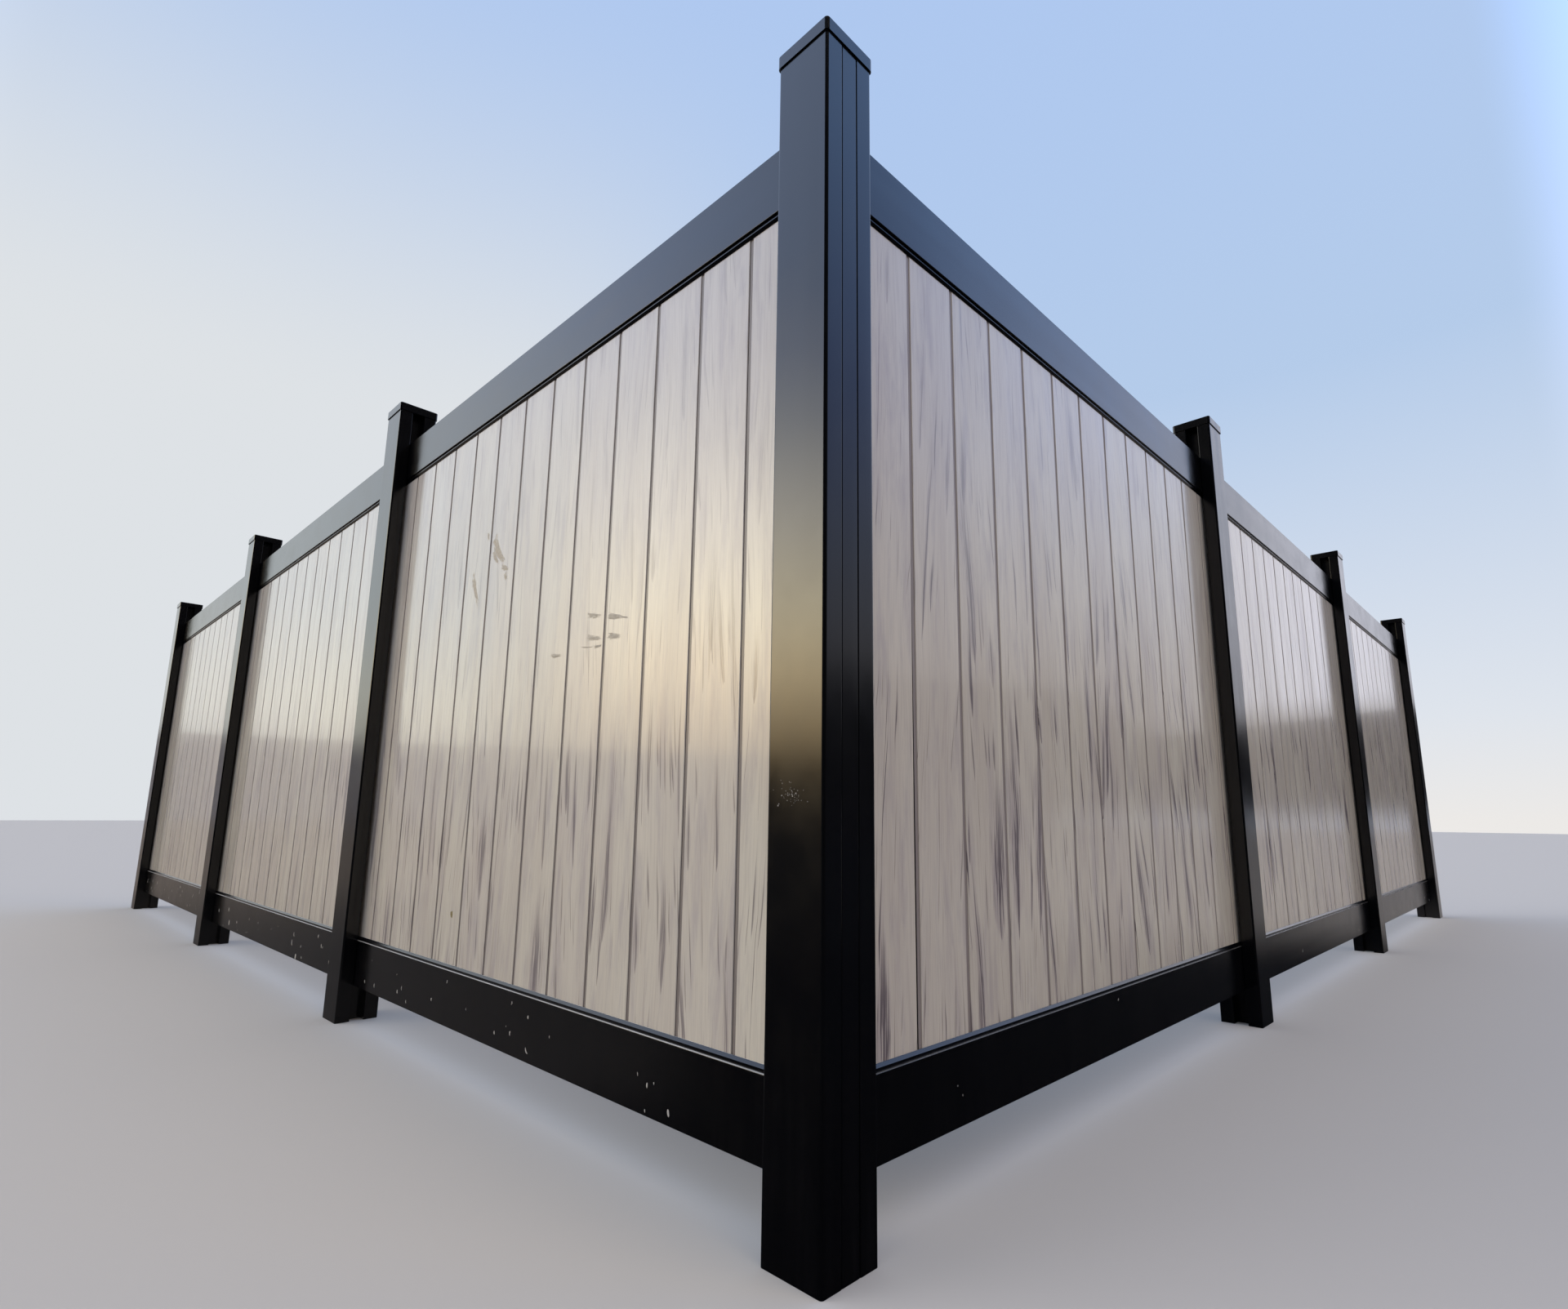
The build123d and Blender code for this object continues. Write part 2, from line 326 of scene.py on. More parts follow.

# %% [markdown]
# ## Printed wood grain: the film
#
# Under the flames lies a pale taupe ground with soft bands, fine fibres and hairlines, and a mauve wash in
# patches. A painted reflection of the blue sky turns it a little bluer towards the top. The streaks are stronger on
# the right run than on the left, and stronger low down on both, so each run has a short table of its own.
#
# The film ends at the plank's face, and a seam's floor is bare vinyl, pinkish and dull, with painted shade that
# makes it darker than the print, more so on the left run. What lies deeper still is nearly black painted shade in
# the opened joint of the right run, and a paler painted light on the left. Over everything lies a clear coat on a
# shallow embossed grain, which tears every reflection into upright rags.

# %% Printed film finish
# The number that a run's planks count from, the strands per metre in its big, middle and thin flames, how much of
# the ground a flame's body and heart cover, the painted shade of a seam's floor, and the painted light and shade of
# a joint
PRINTS = {
    "right": {
        "first_number": 3.0, "combs": (290.0, 380.0, 900.0), "body": 0.56, "heart": 0.88,
        "seam_floor_painted_shade": (0.205, 0.172, 0.166), "joint": (0.012, 0.010, 0.010),
    },
    "left": {
        "first_number": 211.0, "combs": (460.0, 560.0, 900.0), "body": 0.34, "heart": 0.66,
        "seam_floor_painted_shade": (0.146, 0.122, 0.117), "joint": (0.210, 0.180, 0.173),
    },
}
HEART = (0.092, 0.074, 0.086)


def streak_strength(tree, run, axes):
    """Streaks fade towards the top, and on the left run also towards its far end."""
    if run == "right":
        return ramp(tree, axes[2], 1.60, 0.75, 0.34, 1.0)
    return times(tree, ramp(tree, axes[2], 1.50, 0.60, 0.34, 1.0), ramp(tree, axes[1], 1.3, 3.4, 1.0, 0.55))


def printed_film(name, run):
    """Taupe print on planks: per-plank shift, bands, fibres, hairlines and flames, under a clear coat."""
    finish, tree, shader, axes = new_finish(name, (0.42, 0.37, 0.31))
    own_print = PRINTS[run]
    in_pitches, own, pattern = plank_pattern(tree, run, axes, own_print["first_number"])

    def stretched(per_metre_across, per_metre_up, layer):
        """A point on the bent plank, with its own frequencies across and up."""
        across_at, up_at = times(tree, pattern[0], per_metre_across), times(tree, pattern[1], per_metre_up)
        return point_at(tree, across_at, up_at, layer)

    # The ground of the print
    bands = noise(tree, stretched(15.0, 1.6, 1.7), 3.0, 0.55)
    fibres = noise(tree, stretched(240.0, 5.0, 4.1), 4.0, 0.62)
    hairs = noise(tree, stretched(620.0, 9.0, 8.3), 2.0, 0.6)
    wash = noise(tree, stretched(30.0, 3.6, 12.9), 5.0, 0.66)
    ground = tint(tree, ramp(tree, bands, 0.30, 0.70), (0.476, 0.430, 0.368), (0.556, 0.516, 0.436))
    ground = tint(tree, times(tree, own[2], 0.45), ground, (0.474, 0.424, 0.388))
    # Painted reflection: a bluer grey towards the top stands in for the blue sky that the upper planks mirror
    ground = tint(tree, ramp(tree, axes[2], 0.90, 1.90, 0.0, 0.26), ground, (0.470, 0.470, 0.520))
    ground = tint(tree, ramp(tree, fibres, 0.42, 0.74, 0.0, 0.34), ground, (0.330, 0.285, 0.270))
    ground = tint(tree, ramp(tree, hairs, 0.55, 0.75, 0.0, 0.22), ground, (0.270, 0.225, 0.216))
    ground = tint(tree, ramp(tree, wash, 0.46, 0.70, 0.0, 0.52), ground, (0.330, 0.295, 0.305))

    # Three sizes of flame lie over it, first all bodies and then all hearts
    vigour = ramp(tree, noise(tree, stretched(4.5, 0.9, 51.9), 1.0), 0.30, 0.62, 0.55, 1.45)
    plank_lean = times(tree, minus(tree, own[2], 0.58), 0.19)
    combs = own_print["combs"]
    big, big_heart = flames(tree, pattern, vigour, plank_lean, *BIG_FLAMES, combs[0])
    middle, middle_heart = flames(tree, pattern, vigour, plank_lean, *MIDDLE_FLAMES, combs[1])
    thin, thin_heart = flames(tree, pattern, vigour, plank_lean, *THIN_FLAMES, combs[2])
    strong = streak_strength(tree, run, axes)
    for streak, share, shade in (
        (big, own_print["body"], (0.286, 0.244, 0.252)),
        (middle, own_print["body"], (0.238, 0.200, 0.206)),
        (thin, 0.46, (0.200, 0.168, 0.170)),
        (big_heart, own_print["heart"], HEART),
        (middle_heart, own_print["heart"], HEART),
        (thin_heart, 0.50, (0.100, 0.080, 0.090)),
    ):
        ground = tint(tree, times(tree, streak, strong, share), ground, shade)

    # Seams and joints, by the depth behind the plank's face. Their colours are painted shade, and the left run's
    # joint is a paler painted light
    depth_in = minus(tree, PLANK_FACE, calc(tree, "ABSOLUTE", axes[1] if run == "right" else axes[0]))
    in_seam = ramp(tree, depth_in, 0.0008, 0.0015)
    # Painted shade darkens the seam's floor; the joint gets painted shade on the right run and painted light on the
    # left
    colour = tint(tree, times(tree, in_seam, 0.92), ground, own_print["seam_floor_painted_shade"])
    colour = tint(tree, ramp(tree, depth_in, 0.0020, 0.0032), colour, own_print["joint"])
    tree.links.new(colour, shader.inputs["Base Color"])

    # The clear coat, and the surface under it. A plank bows across its width by t(1 - t), more or less than its
    # neighbour, and is flat at both of its edges
    sheen = noise(tree, stretched(36.0, 1.3, 61.3), 2.0, 0.6)
    gloss = calc(tree, "ADD", ramp(tree, sheen, 0.35, 0.65, 0.14, 0.25), times(tree, in_seam, 0.35))
    tree.links.new(gloss, shader.inputs["Roughness"])
    shader.inputs["IOR"].default_value = 1.44
    shader.inputs["Coat Weight"].default_value = 0.30
    shader.inputs["Coat Roughness"].default_value = 0.07
    embossed = noise(tree, stretched(410.0, 5.0, 30.1), 2.0, 0.55)
    ripple = noise(tree, stretched(26.0, 0.8, 40.7), 1.0)
    t = calc(tree, "FRACT", in_pitches)
    bow = times(tree, t, minus(tree, 1.0, t), minus(tree, own[0], 0.35))
    raise_surface(tree, shader, (bow, 2.0), (ripple, 0.40), (embossed, 0.035))
    return finish


film = {run: printed_film(f"wood_grain_{run}", run) for run in PRINTS}
print("film nodes:", len(film["right"].node_tree.nodes))

# %% [markdown]
# ## Putting the finishes on
#
# A CAD node keeps its mesh, and only its material slot changes. A node's name says what it is and on which run
# it stands, so the name picks the finish.

# %% Assign the finishes
def finish_for(name):
    """The finish of a node, from the words in its name."""
    side = name.split("_")[0]
    if "planks" in name:
        return film[side]
    return vinyl[side] if "rail" in name else vinyl["upright"]


for name, node in nodes.items():
    node.data.materials.clear()
    node.data.materials.append(finish_for(name))
print("finished nodes:", len(nodes))

# %% [markdown]
# ## Pieces from arrays
#
# The wear and dirt that stand proud of the fence are small closed surfaces. Each is worked out as an array of
# points and an array of four-sided faces. One function puts points on an outer face of either run, and another
# makes the mesh object and says which body it rides on.

# %% Mesh helpers
def face_point(side, face, along, up, out):
    """Places points on an outer face: along the run, up, and out towards the viewer, for the right or left run."""
    away = -face - out
    return np.stack([along, away, up] if side == "right" else [away, along, up], axis=-1)


def grid_faces(grid):
    """The four-sided faces between neighbours of a grid of point numbers."""
    corners = grid[:-1, :-1], grid[1:, :-1], grid[1:, 1:], grid[:-1, 1:]
    return np.stack(corners, axis=-1).reshape(-1, 4)


def ring_faces(index):
    """The four-sided faces between neighbouring rings of point numbers, closed around each ring."""
    turned = np.roll(index, -1, 1)
    return np.stack([index[:-1], turned[:-1], turned[1:], index[1:]], axis=-1).reshape(-1, 4)


def new_piece(name, points, faces, finish, slot):
    """A mesh object from arrays. If the volume it encloses comes out negative, its faces are turned outwards."""
    points = points.reshape(-1, 3)
    corner = [points[faces[:, k]] for k in range(4)]
    volume = sum(np.einsum("ij,ij->i", corner[0], np.cross(corner[k], corner[k + 1])).sum() for k in (1, 2))
    faces = faces if volume > 0 else faces[:, ::-1]
    mesh = bpy.data.meshes.new(name)
    mesh.from_pydata(points.tolist(), [], faces.tolist())
    mesh.polygons.foreach_set("use_smooth", np.ones(len(faces), dtype=bool))
    mesh.materials.append(finish)
    piece = bpy.data.objects.new(name, mesh)
    bpy.context.scene.collection.objects.link(piece)
    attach(piece, "root")
    print(name, "faces:", len(faces), "enclosed cubic millimetres:", round(abs(volume) / 6 * 1e9, 1))
    return piece


# %% [markdown]
# ## Chalky chips and flecks
#
# Small knocks have chipped the bottom rails, mostly on the left run, and left chalky strokes, most of them upright
# and a little curved. The corner post has a spatter of tiny flecks a little above knee height. They could be
# painted in the finish, but they stand proud and catch the light, so each is a small shape: a flattened spindle,
# half sunk in the face that it lies on. One function makes a whole crowd of them as arrays.

# %% Strokes
def strokes(side, face, along, up, length, width, height, lean, bend, rings=7, around=8):
    """A crowd of strokes. With s from -1 to 1 along a stroke, its half width is width sqrt(1 - s^2), its middle
    wanders by bend (1 - s^2), and its section is a flat ellipse. Both ends stop just short of a point, with a small
    cap. Each size is given as one number per stroke."""
    given = along, up, length, width, height, lean, bend
    along, up, length, width, height, lean, bend = (np.asarray(values)[:, None, None] for values in given)
    s = np.linspace(-1.0, 1.0, rings)[None, :, None]
    phi = np.linspace(0.0, 2 * np.pi, around, endpoint=False)[None, None, :]
    taper = np.sqrt(1 - 0.999 * s**2)
    aside = width * taper * np.cos(phi) + bend * (1 - s**2)
    ahead = length / 2 * s + 0 * aside
    out = height * taper * np.sin(phi) + 0 * ahead
    along = along + aside * np.cos(lean) + ahead * np.sin(lean)
    up = up + ahead * np.cos(lean) - aside * np.sin(lean)
    index = np.arange(rings * around).reshape(rings, around)
    lower = np.arange(around // 2 - 1)
    cap = np.stack([lower, lower + 1, around - 2 - lower, around - 1 - lower], axis=-1)
    one = np.concatenate([ring_faces(index), index[0][cap][:, ::-1], index[-1][cap]])
    faces = (one[None] + (np.arange(len(along)) * rings * around)[:, None, None]).reshape(-1, 4)
    return face_point(side, face, along, up, out), faces


# %% Chalk finish
def speckled(name, plain_colour, per_metre, detail, contrast, dark, pale, roughness, millimetres=None):
    """A dull crust: one noise mixes two colours and, where millimetres are given, raises the surface too."""
    finish, tree, shader, axes = new_finish(name, plain_colour)
    clots = noise(tree, scaled(tree, axes, per_metre), *detail)
    amount = ramp(tree, clots, *contrast) if contrast else clots
    tree.links.new(tint(tree, amount, dark, pale), shader.inputs["Base Color"])
    shader.inputs["Roughness"].default_value = roughness
    if millimetres:
        raise_surface(tree, shader, (clots, millimetres))
    return finish


chalk = speckled(
    "chalk_chips", (0.6, 0.58, 0.55), per_metre=900.0, detail=(4.0, 0.6), contrast=(0.3, 0.7),
    dark=(0.17, 0.163, 0.155), pale=(0.50, 0.48, 0.455), roughness=0.9, millimetres=0.15,
)
print("finish:", chalk.name)

# %% Chips on the bottom rails and flecks on the corner post
# Heights above the rail's foot: the lowest middle of a chip, the range of the middles, and where the chips end
CHIP_FOOT, CHIP_RANGE, CHIP_TOP = 0.008, 0.112, 0.132
luck = np.random.default_rng(41)


def rail_chips(side, count, share):
    """Random chips over the bottom rails of one run, more of them low down, with a share of the full length."""
    bay = luck.integers(0, BAYS, count)
    along = bay * BAY_PITCH + luck.uniform(0.10, 2.0, count)
    up = RAIL_FOOT + CHIP_FOOT + CHIP_RANGE * luck.beta(1.1, 1.5, count)
    length = share * (0.003 + 0.026 * luck.beta(0.9, 2.4, count))
    width = length * luck.uniform(0.12, 0.32, count)
    up = np.minimum(up, RAIL_FOOT + CHIP_TOP - length / 2)
    height = np.full(count, 0.0004)
    lean = luck.normal(0.1, 0.3, count)
    bend = length * luck.normal(0.1, 0.08, count)
    return strokes(side, RAIL_FACE, along, up, length, width, height, lean, bend)


def post_spatter(count):
    """Tiny flecks, crowded around one spot of the corner post's left face."""
    size = 0.0004 + 0.0011 * luck.beta(0.8, 3.0, count)
    along = luck.normal(0.006, 0.018, count).clip(-0.045, 0.052)
    up = luck.normal(0.695, 0.010, count)
    lean = luck.uniform(-1.5, 1.5, count)
    return strokes("left", POST_HALF, along, up, 2.2 * size, size, 0.45 * size, lean, 0 * size)


left_chips = new_piece("left_rail_chips", *rail_chips("left", 90, 1.0), chalk, "black_vinyl")
right_chips = new_piece("right_rail_chips", *rail_chips("right", 16, 0.6), chalk, "black_vinyl")
post_flecks = new_piece("post_flecks", *post_spatter(50), chalk, "black_vinyl")

# %% [markdown]
# ## Dried mud
#
# A muddy glove has wiped the left planks: a curved swipe with a few dabs around it, a fainter one on the next
# plank, and level strokes lower down. Dried mud is a film, a fifth of a millimetre thick on average, combed into
# ridges of up to three quarters of a millimetre and broken at its edges. Its surface is a height over two
# parameters that runs below the plank's face wherever the film has broken, so the plank cuts the ragged outline.

# %% Smears
# How far behind the plank's face the rim, the broken parts and the back of a film lie
RIM_DEPTH, BROKEN_DEPTH, BACK_DEPTH = 0.0006, 0.0005, 0.0009


def smear(along, up, length, width, lean, bend, seed, bare=0.45, thickness=0.00035, steps=(60, 24)):
    """A closed film over s and t from -1 to 1. Its height is thickness (1.7 (1 - s^2)(1 - t^2) - bare + ridges),
    where the ridges are sines across the stroke, and its back lies flat inside the plank's wall."""
    dice = np.random.default_rng(seed)

    def sines(first, second, strength, sway, frequencies):
        """A sum of sines of the first parameter, each swayed by a sine of the second."""
        total = 0
        for k in frequencies:
            phase = k * first + dice.uniform(0, 6)
            total = total + strength * np.sin(phase + sway[0] * np.sin(sway[1] * second + dice.uniform(0, 6)))
        return total

    s, t = np.meshgrid(np.linspace(-1, 1, steps[0]), np.linspace(-1, 1, steps[1]), indexing="ij")
    combed = sines(t, s, 0.22, (0.9, 2.3), (7.0, 12.0, 19.0))
    broken = sines(s, t, 0.20, (2.0, 4.0), (6.0, 11.0, 23.0))
    height = thickness * (1.7 * (1 - s**2) * (1 - t**2) - bare + combed + broken)
    on_rim = (abs(s) == 1) | (abs(t) == 1)
    out = np.where(on_rim, -RIM_DEPTH, np.maximum(height, -BROKEN_DEPTH))
    ahead, aside = length / 2 * s, width / 2 * t * (0.75 + 0.25 * s) + bend * (1 - s**2)
    along = along + aside * math.cos(lean) + ahead * math.sin(lean)
    up = up + ahead * math.cos(lean) - aside * math.sin(lean)
    front = face_point("left", PLANK_FACE, along, up, out)
    back = face_point("left", PLANK_FACE, along, up, np.full_like(out, -BACK_DEPTH))
    grid = np.arange(s.size).reshape(s.shape)
    behind = np.where(on_rim, grid, grid + s.size)
    return np.stack([front, back]).reshape(-1, 3), np.concatenate([grid_faces(grid), grid_faces(behind)[:, ::-1]])


def joined(patches):
    """Several closed patches as one set of points and faces."""
    starts = np.cumsum([0] + [len(points) for points, faces in patches[:-1]])
    faces = np.concatenate([faces + start for start, (points, faces) in zip(starts, patches)])
    return np.concatenate([points for points, faces in patches]), faces


# %% Swipes, dabs and one brown spot
mud = speckled(
    "dried_mud", (0.42, 0.35, 0.28), per_metre=160.0, detail=(5.0, 0.65), contrast=(0.3, 0.7),
    dark=(0.315, 0.272, 0.215), pale=(0.420, 0.374, 0.306), roughness=0.55, millimetres=0.18,
)
swipes = [
    smear(1.252, 1.406, 0.118, 0.036, 0.69, 0.008, 3, 0.25),
    smear(1.269, 1.387, 0.064, 0.022, 0.71, 0.004, 8),
    smear(1.207, 1.344, 0.052, 0.024, 1.16, 0.003, 12, 0.60),
    smear(1.198, 1.315, 0.036, 0.028, 0.58, 0.002, 17, 0.95),
    smear(1.330, 1.464, 0.032, 0.020, 0.36, 0.001, 19, 0.85),
    smear(1.387, 1.313, 0.150, 0.036, 0.47, 0.004, 23, 0.90),
    smear(0.633, 1.106, 0.058, 0.018, 1.37, 0.001, 21, 0.25),
    smear(0.594, 1.098, 0.034, 0.007, 1.35, 0.001, 27, 0.60),
    smear(0.722, 1.124, 0.082, 0.022, 1.39, 0.002, 26, 1.05),
    smear(0.632, 1.060, 0.058, 0.021, 1.42, 0.001, 31, 0.65),
    smear(0.716, 1.068, 0.070, 0.017, 1.40, 0.001, 36, 0.70),
    smear(0.697, 1.046, 0.034, 0.010, 1.55, 0.001, 38, 0.45),
    smear(0.745, 1.050, 0.064, 0.005, 1.45, 0.001, 41, 0.80),
    smear(0.888, 1.048, 0.052, 0.014, 1.48, 0.001, 44, 0.45),
]
mud_smears = new_piece("mud_smears", *joined(swipes), mud, "wood_grain_vinyl")
brown = speckled(
    "brown_spot", (0.2, 0.12, 0.05), per_metre=500.0, detail=(3.0,), contrast=None,
    dark=(0.115, 0.088, 0.030), pale=(0.235, 0.185, 0.080), roughness=0.7,
)
spot = smear(1.3635, 0.389, 0.019, 0.021, 0.2, 0.001, 5, 0.30, steps=(24, 18))
mud_spot = new_piece("mud_spot", *spot, brown, "wood_grain_vinyl")

# %% [markdown]
# ## The floor
#
# A plain studio stands around the fence. Its floor is a pale square that takes soft shadows. The floor stays out of
# the reflections, because its pale paint would show as a bright band in the lower half of every black face.

# %% Floor
STUDIO_RADIUS = 60.0


def staged(name, points, faces, finish):
    """A mesh object of the studio, which is not part of the fence."""
    mesh = bpy.data.meshes.new(name)
    mesh.from_pydata(points.reshape(-1, 3).tolist(), [], faces)
    mesh.materials.append(finish)
    made = bpy.data.objects.new(name, mesh)
    bpy.context.scene.collection.objects.link(made)
    return made


def make_floor(half_width):
    """A flat square in the plane z = 0, two numbers across and two along."""
    side = np.array([-half_width, half_width])
    along, across = np.meshgrid(side, side)
    paint, _, shader, _ = new_finish("floor_paint", (0.6, 0.6, 0.6))
    shader.inputs["Base Color"].default_value = (0.56, 0.52, 0.475, 1.0)
    shader.inputs["Roughness"].default_value = 0.9
    return staged("floor", np.stack([along, across, np.zeros_like(along)], axis=-1), [(0, 1, 3, 2)], paint)


floor = make_floor(STUDIO_RADIUS)
floor.visible_glossy = False
print("floor:", floor.name, "half width:", STUDIO_RADIUS)

# %% [markdown]
# ## A dome of soft light
#
# Black vinyl has hardly any colour of its own and shows mostly what it mirrors, and so does the clear coat on the
# planks. A dome of light around everything gives them something to mirror. Its colour changes with height and from
# side to side. The right is bluish, dimmer further round, with one narrow bright strip. The left is paler and
# brighter, with a warm glow low down, and the dome is pale beyond the left run's far end. Two plain soft boxes
# shine at the sides, and behind the camera all is dim.

# %% Dome of light
def by_height(tree, height, stops):
    """Colour from the height of a direction, with a list of heights and colours."""
    made = add_node(tree, "ShaderNodeValToRGB", height)
    bands = made.node.color_ramp
    while len(bands.elements) < len(stops):
        bands.elements.new(0.5)
    for element, (position, colour) in zip(bands.elements, stops):
        element.position = position
        element.color = (*colour, 1.0)
    return made


def facing(tree, level, azimuth, far, near):
    """How nearly a direction's azimuth agrees with the given one: 0 beyond far degrees from it, 1 within near."""
    aim = (math.cos(math.radians(azimuth)), math.sin(math.radians(azimuth)), 0.0)
    towards = add_node(tree, "ShaderNodeVectorMath", level, aim, operation="DOT_PRODUCT", out=1)
    return ramp(tree, towards, math.cos(math.radians(far)), math.cos(math.radians(near)))


ALL_ROUND = [
    (0.0, (0.84, 0.82, 0.80)), (0.10, (0.74, 0.78, 0.84)), (0.45, (0.46, 0.60, 0.82)), (1.0, (0.40, 0.56, 0.90)),
]
FAR_RIGHT = [
    (0.0, (0.60, 0.56, 0.52)), (0.18, (0.52, 0.50, 0.52)), (0.30, (0.46, 0.52, 0.70)),
    (0.50, (0.36, 0.50, 0.98)), (0.72, (0.47, 0.78, 1.45)), (1.0, (0.42, 0.60, 0.95)),
]
RIGHT = [
    (0.15, (0.58, 0.56, 0.58)), (0.30, (0.93, 1.02, 1.24)), (0.44, (0.90, 1.12, 1.70)),
    (0.65, (0.60, 0.96, 1.75)), (1.0, (0.45, 0.65, 1.10)),
]
LEFT = [
    (0.0, (1.4, 1.3, 1.10)), (0.12, (1.75, 1.75, 1.50)), (0.22, (1.40, 1.56, 1.60)),
    (0.42, (1.32, 1.46, 1.64)), (0.62, (0.98, 1.25, 1.85)), (1.0, (0.60, 0.80, 1.25)),
]
GLOW = [
    (0.06, (2.0, 1.4, 0.7)), (0.12, (4.2, 3.1, 1.7)), (0.18, (6.9, 5.45, 3.25)), (0.25, (6.9, 6.05, 4.2)),
    (0.35, (4.9, 4.6, 4.0)), (0.46, (2.3, 2.4, 2.6)), (0.60, (1.0, 1.25, 2.2)),
]


def make_dome():
    """Lays one side's light over another, each by how nearly a direction faces that side."""
    world = bpy.data.worlds.new("studio_dome")
    bpy.context.scene.world = world
    world.use_nodes = True
    tree = world.node_tree
    direction = add_node(tree, "ShaderNodeTexCoord", out=0)
    x, y, z = split(tree, direction)
    level = add_node(tree, "ShaderNodeVectorMath", point_at(tree, x, y, 0.0), operation="NORMALIZE")
    light = by_height(tree, z, ALL_ROUND)

    # The azimuth of each side's middle, how far from it the light begins and is full, the heights between which it
    # fades, and its colour or its colours by height
    for azimuth, far, near, fade, colour in (
        (84.0, 46.0, 16.0, (0.80, 0.40), (0.73, 0.76, 0.79)),
        (-60.0, 60.0, 22.0, None, FAR_RIGHT),
        (-20.0, 20.0, 9.0, None, RIGHT),
        (-12.0, 5.5, 3.2, (0.10, 0.13), (1.30, 1.32, 1.50)),
        (160.0, 68.0, 46.0, None, LEFT),
        (146.0, 31.0, 12.0, (0.62, 0.45), GLOW),
        (-90.0, 38.0, 18.0, None, (1.68, 1.50, 1.34)),
        (186.0, 34.0, 16.0, None, (1.10, 1.20, 1.34)),
    ):
        amount = facing(tree, level, azimuth, far, near)
        if fade:
            amount = times(tree, amount, ramp(tree, z, *fade))
        light = tint(tree, amount, light, by_height(tree, z, colour) if isinstance(colour, list) else colour)
    tree.links.new(light, tree.nodes["Background"].inputs["Color"])
    behind = add_node(tree, "ShaderNodeVectorMath", direction, (-0.68, -0.68, 0.28), operation="DOT_PRODUCT", out=1)
    tree.links.new(ramp(tree, behind, 0.76, 0.93, 1.0, 0.22), tree.nodes["Background"].inputs["Strength"])
    return world


dome = make_dome()
print("dome:", dome.name, "nodes:", len(dome.node_tree.nodes))

# %% [markdown]
# ## A dark flag
#
# In a studio, a black cloth called a flag keeps parts of a glossy thing dark. Here one cloth lies over the floor as
# a wide bowl with an upright rim, and only reflections see it. The rim is low beside the fence, so each face
# mirrors the dome above it and the cloth below, and it is tall behind the camera. The cloth has three paler wedges,
# one on the right and two on the left, because the planks further along each run mirror pale ground.

# %% Flag
RIM_HEIGHTS = [
    (0, 8.0), (60, 5.2), (143, 5.2), (149, 9.0), (156, 90.0),
    (302, 90.0), (311, 13.0), (320, 11.6), (336, 9.6), (340, 6.2),
]


def flag_cloth():
    """Black cloth, paler in three wedges around the corner post. A wedge is a range of the slope x / y or y / x."""
    finish, tree, shader, (x, y, z) = new_finish("flag_cloth", (0.1, 0.1, 0.1))
    left_slope = calc(tree, "DIVIDE", x, y)
    right_slope = calc(tree, "DIVIDE", y, x)
    near_left = times(tree, ramp(tree, left_slope, -0.68, -0.40), ramp(tree, y, 0.4, 1.2))
    far_left = times(tree, ramp(tree, left_slope, -0.90, -0.72), ramp(tree, y, 3.0, 9.0))
    far_right = times(tree, ramp(tree, minus(tree, x, y), 3.5, 6.5), ramp(tree, right_slope, -0.66, -0.38))
    far_right = times(tree, far_right, times(tree, ramp(tree, x, 0.5, 3.5), ramp(tree, z, 2.0, 0.0)))
    cloth = tint(tree, near_left, (0.010, 0.010, 0.013), (0.14, 0.15, 0.18))
    cloth = tint(tree, far_left, cloth, (0.40, 0.38, 0.38))
    tree.links.new(tint(tree, far_right, cloth, (0.52, 0.56, 0.66)), shader.inputs["Base Color"])
    shader.inputs["Roughness"].default_value = 1.0
    return finish


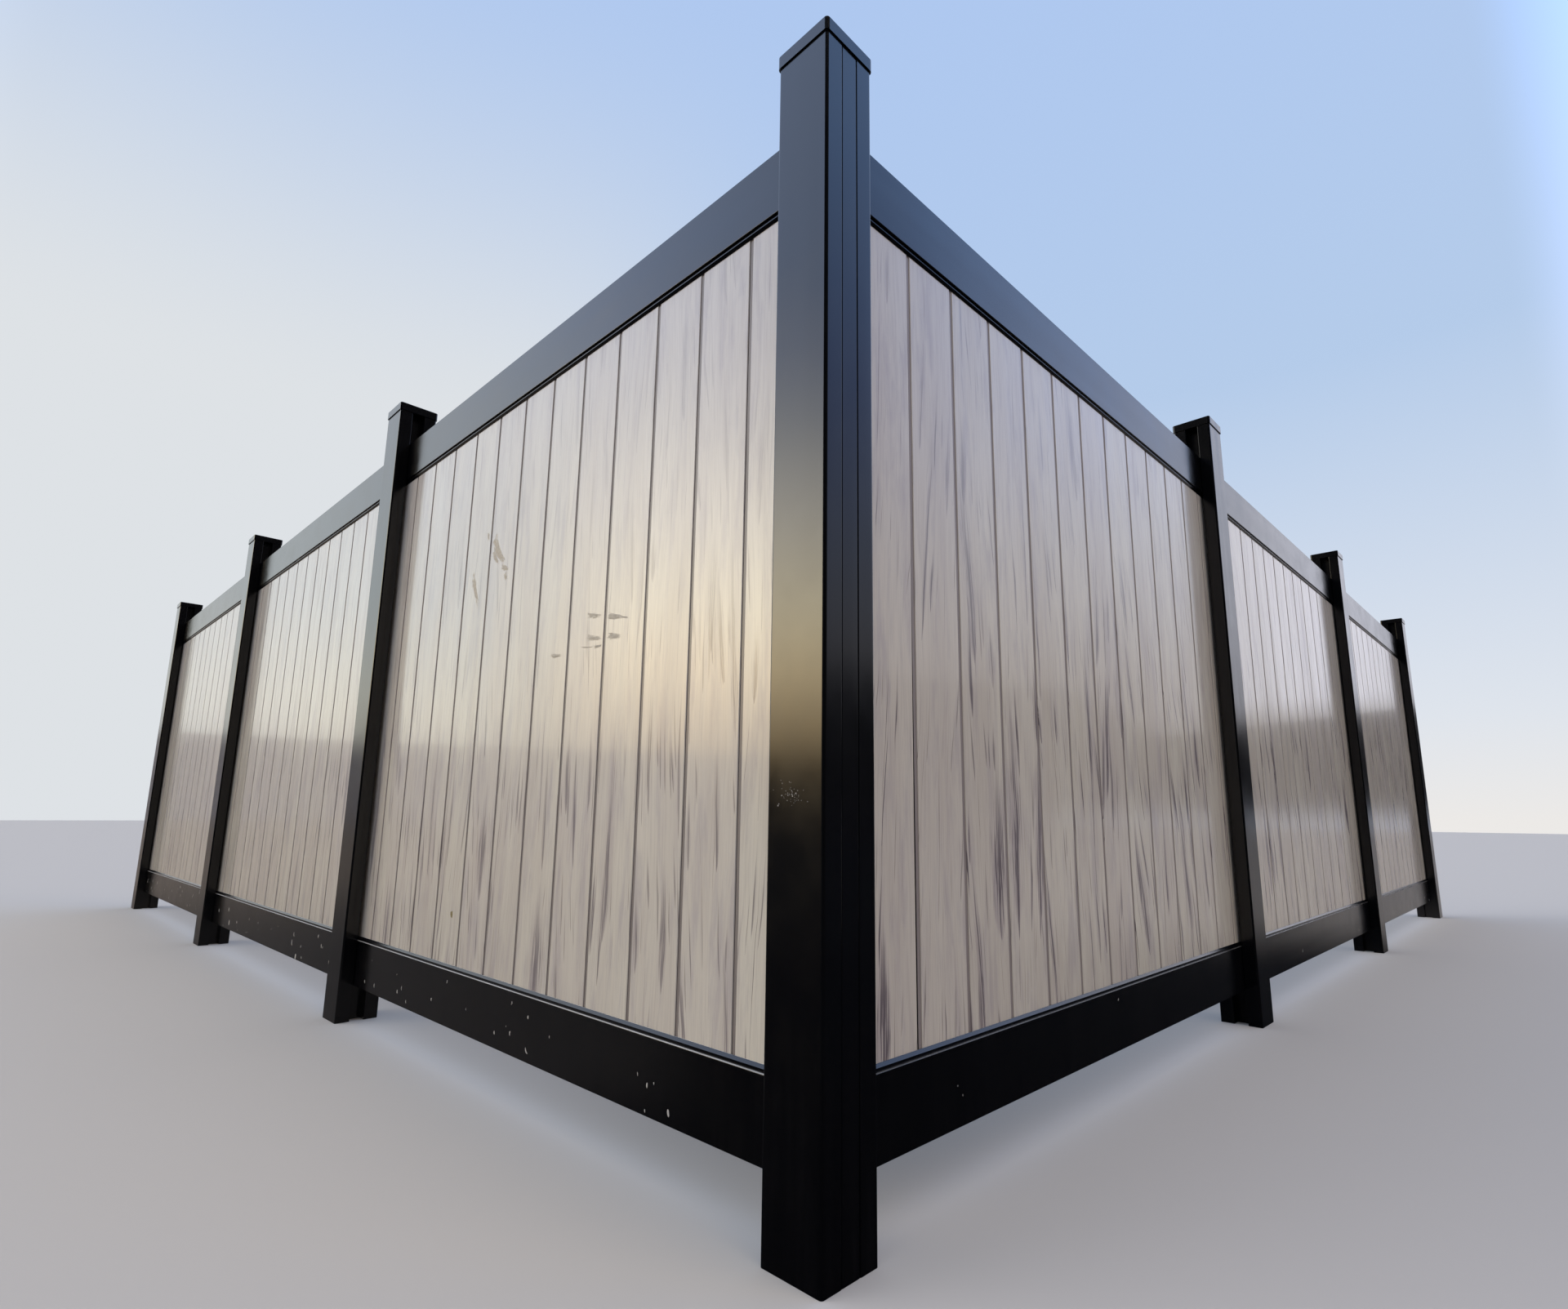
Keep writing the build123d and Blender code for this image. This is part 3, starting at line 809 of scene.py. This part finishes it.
def make_flag(radius, rim_heights, around=144):
    """A bowl: rings of points at radius r(t), turned about the z axis. The height of its rim runs straight from
    one pair of (degrees, metres) to the next, so it is low beside the fence and tall behind the camera."""
    angle = np.linspace(0.0, 2 * np.pi, around, endpoint=False)
    rim = np.interp(np.degrees(angle), *zip(*rim_heights), period=360)
    r = np.array([0.0, 0.25, 0.6, 1.0, 1.0]) * radius
    h = np.outer([0.0, 0.0, 0.0, 0.0, 1.0], rim)
    rings = np.stack([np.outer(r, np.cos(angle)), np.outer(r, np.sin(angle)), h], axis=-1)
    index = np.arange(rings.shape[0] * around).reshape(-1, around)
    return staged("flag", rings, ring_faces(index).tolist(), flag_cloth())


flag = make_flag(STUDIO_RADIUS, RIM_HEIGHTS)
flag.visible_camera = flag.visible_diffuse = flag.visible_shadow = False
bpy.context.scene.view_settings.view_transform = "Standard"
print("flag:", flag.name, "faces:", len(flag.data.polygons))

# %% [markdown]
# ## The camera
#
# The photograph is a wide view from a little above knee height, about a metre and a third from the corner post,
# tipped up by ten degrees. The lens and the point where it looks were found by laying the fence's own straight
# edges over the photograph. The small shift puts the middle of the lens where the photograph has it.

# %% Camera
def make_camera(place, turn, tilt, roll, lens, shift):
    """A camera from its place and three angles: turn about +Z from +X, tilt up, and roll about the view."""
    ahead = Vector((math.cos(turn) * math.cos(tilt), math.sin(turn) * math.cos(tilt), math.sin(tilt)))
    side = Vector((math.sin(turn), -math.cos(turn), 0.0))
    up = side.cross(ahead)
    rolled_side = side * math.cos(roll) + up * math.sin(roll)
    rolled_up = up * math.cos(roll) - side * math.sin(roll)
    camera = bpy.data.objects.new("camera", bpy.data.cameras.new("camera"))
    bpy.context.scene.collection.objects.link(camera)
    camera.matrix_world = Matrix.Translation(place) @ Matrix((rolled_side, rolled_up, -ahead)).transposed().to_4x4()
    camera.data.lens = lens
    camera.data.sensor_width = 36.0
    camera.data.shift_x, camera.data.shift_y = shift
    camera.data.clip_start, camera.data.clip_end = 0.05, 200.0
    bpy.context.scene.camera = camera
    return camera


camera = make_camera(
    place=(-0.9924, -0.9172, 0.6654),
    turn=math.radians(44.041),
    tilt=math.radians(10.516),
    roll=math.radians(0.52),
    lens=18.51,
    shift=(-0.01287, 0.0068),
)
print("camera at", tuple(round(v, 3) for v in camera.location), "lens", camera.data.lens)
